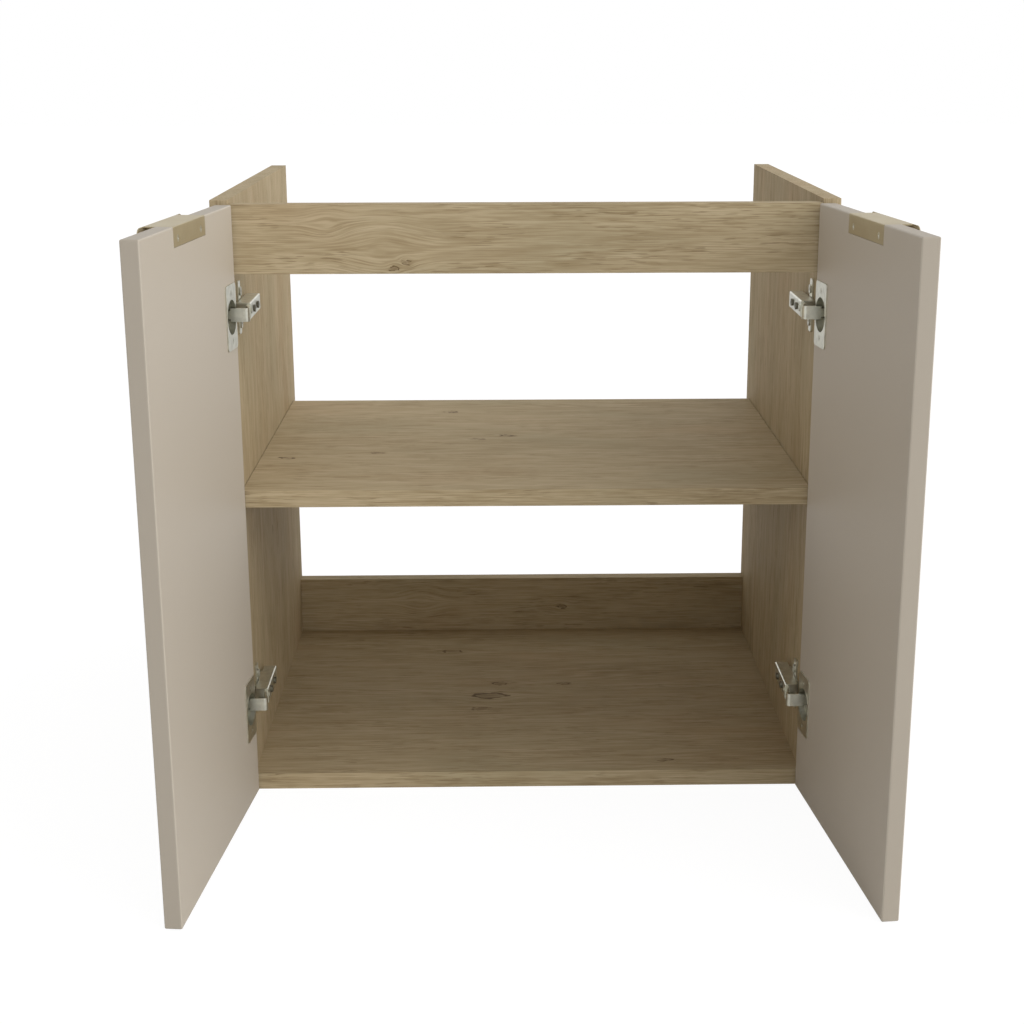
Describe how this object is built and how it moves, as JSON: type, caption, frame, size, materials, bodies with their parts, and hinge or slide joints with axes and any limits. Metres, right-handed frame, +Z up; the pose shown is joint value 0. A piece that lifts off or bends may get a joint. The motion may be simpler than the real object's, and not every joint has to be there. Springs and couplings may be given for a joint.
{
  "type": "sink base cabinet",
  "caption": "Open-topped sink base cabinet with open back, one shelf, front and rear rails, and a pair of hinged doors with edge pulls standing open.",
  "frame": {"origin": "middle of the carcass underside (doors left out)", "axes": "+Z up, -Y out of the front, +X to the right as seen from the front"},
  "size_m": [0.6514, 0.7689, 0.604],
  "materials": {
    "oak_board": "light oak grain laminate, satin",
    "oak_edge": "matching oak edging, satin",
    "taupe_door": "matt taupe lacquer",
    "champagne_metal": "satin champagne anodised",
    "beech": "plain",
    "zinc_steel": "zinc plated",
    "screw_steel": "nickel plated",
    "nickel_steel": "nickel plated, satin"
  },
  "bodies": {
    "carcass": {"bottom_panel": "oak_board", "carcass_bolts": "zinc_steel", "carcass_dowels": "beech", "edge_strip_bottom": "oak_edge", "edge_strip_left": "oak_edge", "edge_strip_right": "oak_edge", "edge_strip_shelf": "oak_edge", "front_top_rail": "oak_board", "hinge_arm_lower_left": "nickel_steel", "hinge_arm_lower_right": "nickel_steel", "hinge_arm_screws": "screw_steel", "hinge_arm_upper_left": "nickel_steel", "hinge_arm_upper_right": "nickel_steel", "hinge_neck_lower_left": "nickel_steel", "hinge_neck_lower_right": "nickel_steel", "hinge_neck_upper_left": "nickel_steel", "hinge_neck_upper_right": "nickel_steel", "hinge_plate_screws": "screw_steel", "mounting_plate_lower_left": "nickel_steel", "mounting_plate_lower_right": "nickel_steel", "mounting_plate_upper_left": "nickel_steel", "mounting_plate_upper_right": "nickel_steel", "neck_rivets": "screw_steel", "rear_bottom_rail": "oak_board", "shelf": "oak_board", "shelf_pins": "zinc_steel", "side_panel_left": "oak_board", "side_panel_right": "oak_board"},
    "left_door": {"cup_screws_left": "screw_steel", "cup_spring_lower_left": "zinc_steel", "cup_spring_upper_left": "zinc_steel", "door_left": "taupe_door", "hinge_cup_lower_left": "nickel_steel", "hinge_cup_upper_left": "nickel_steel", "pivot_pin_lower_left": "zinc_steel", "pivot_pin_upper_left": "zinc_steel", "pull_left": "champagne_metal", "pull_screws_left": "screw_steel"},
    "right_door": {"cup_screws_right": "screw_steel", "cup_spring_lower_right": "zinc_steel", "cup_spring_upper_right": "zinc_steel", "door_right": "taupe_door", "hinge_cup_lower_right": "nickel_steel", "hinge_cup_upper_right": "nickel_steel", "pivot_pin_lower_right": "zinc_steel", "pivot_pin_upper_right": "zinc_steel", "pull_right": "champagne_metal", "pull_screws_right": "screw_steel"}
  },
  "joints": [
    {"name": "left_door_swing", "type": "hinge", "parent": "carcass", "child": "left_door", "pos_m": [-0.2885, -0.2475, 0.298], "axis": [0, 0, 1], "range_deg": [0, 95.5]},
    {"name": "right_door_swing", "type": "hinge", "parent": "carcass", "child": "right_door", "pos_m": [0.2885, -0.2475, 0.298], "axis": [0, 0, -1], "range_deg": [0, 95.5]}
  ]
}
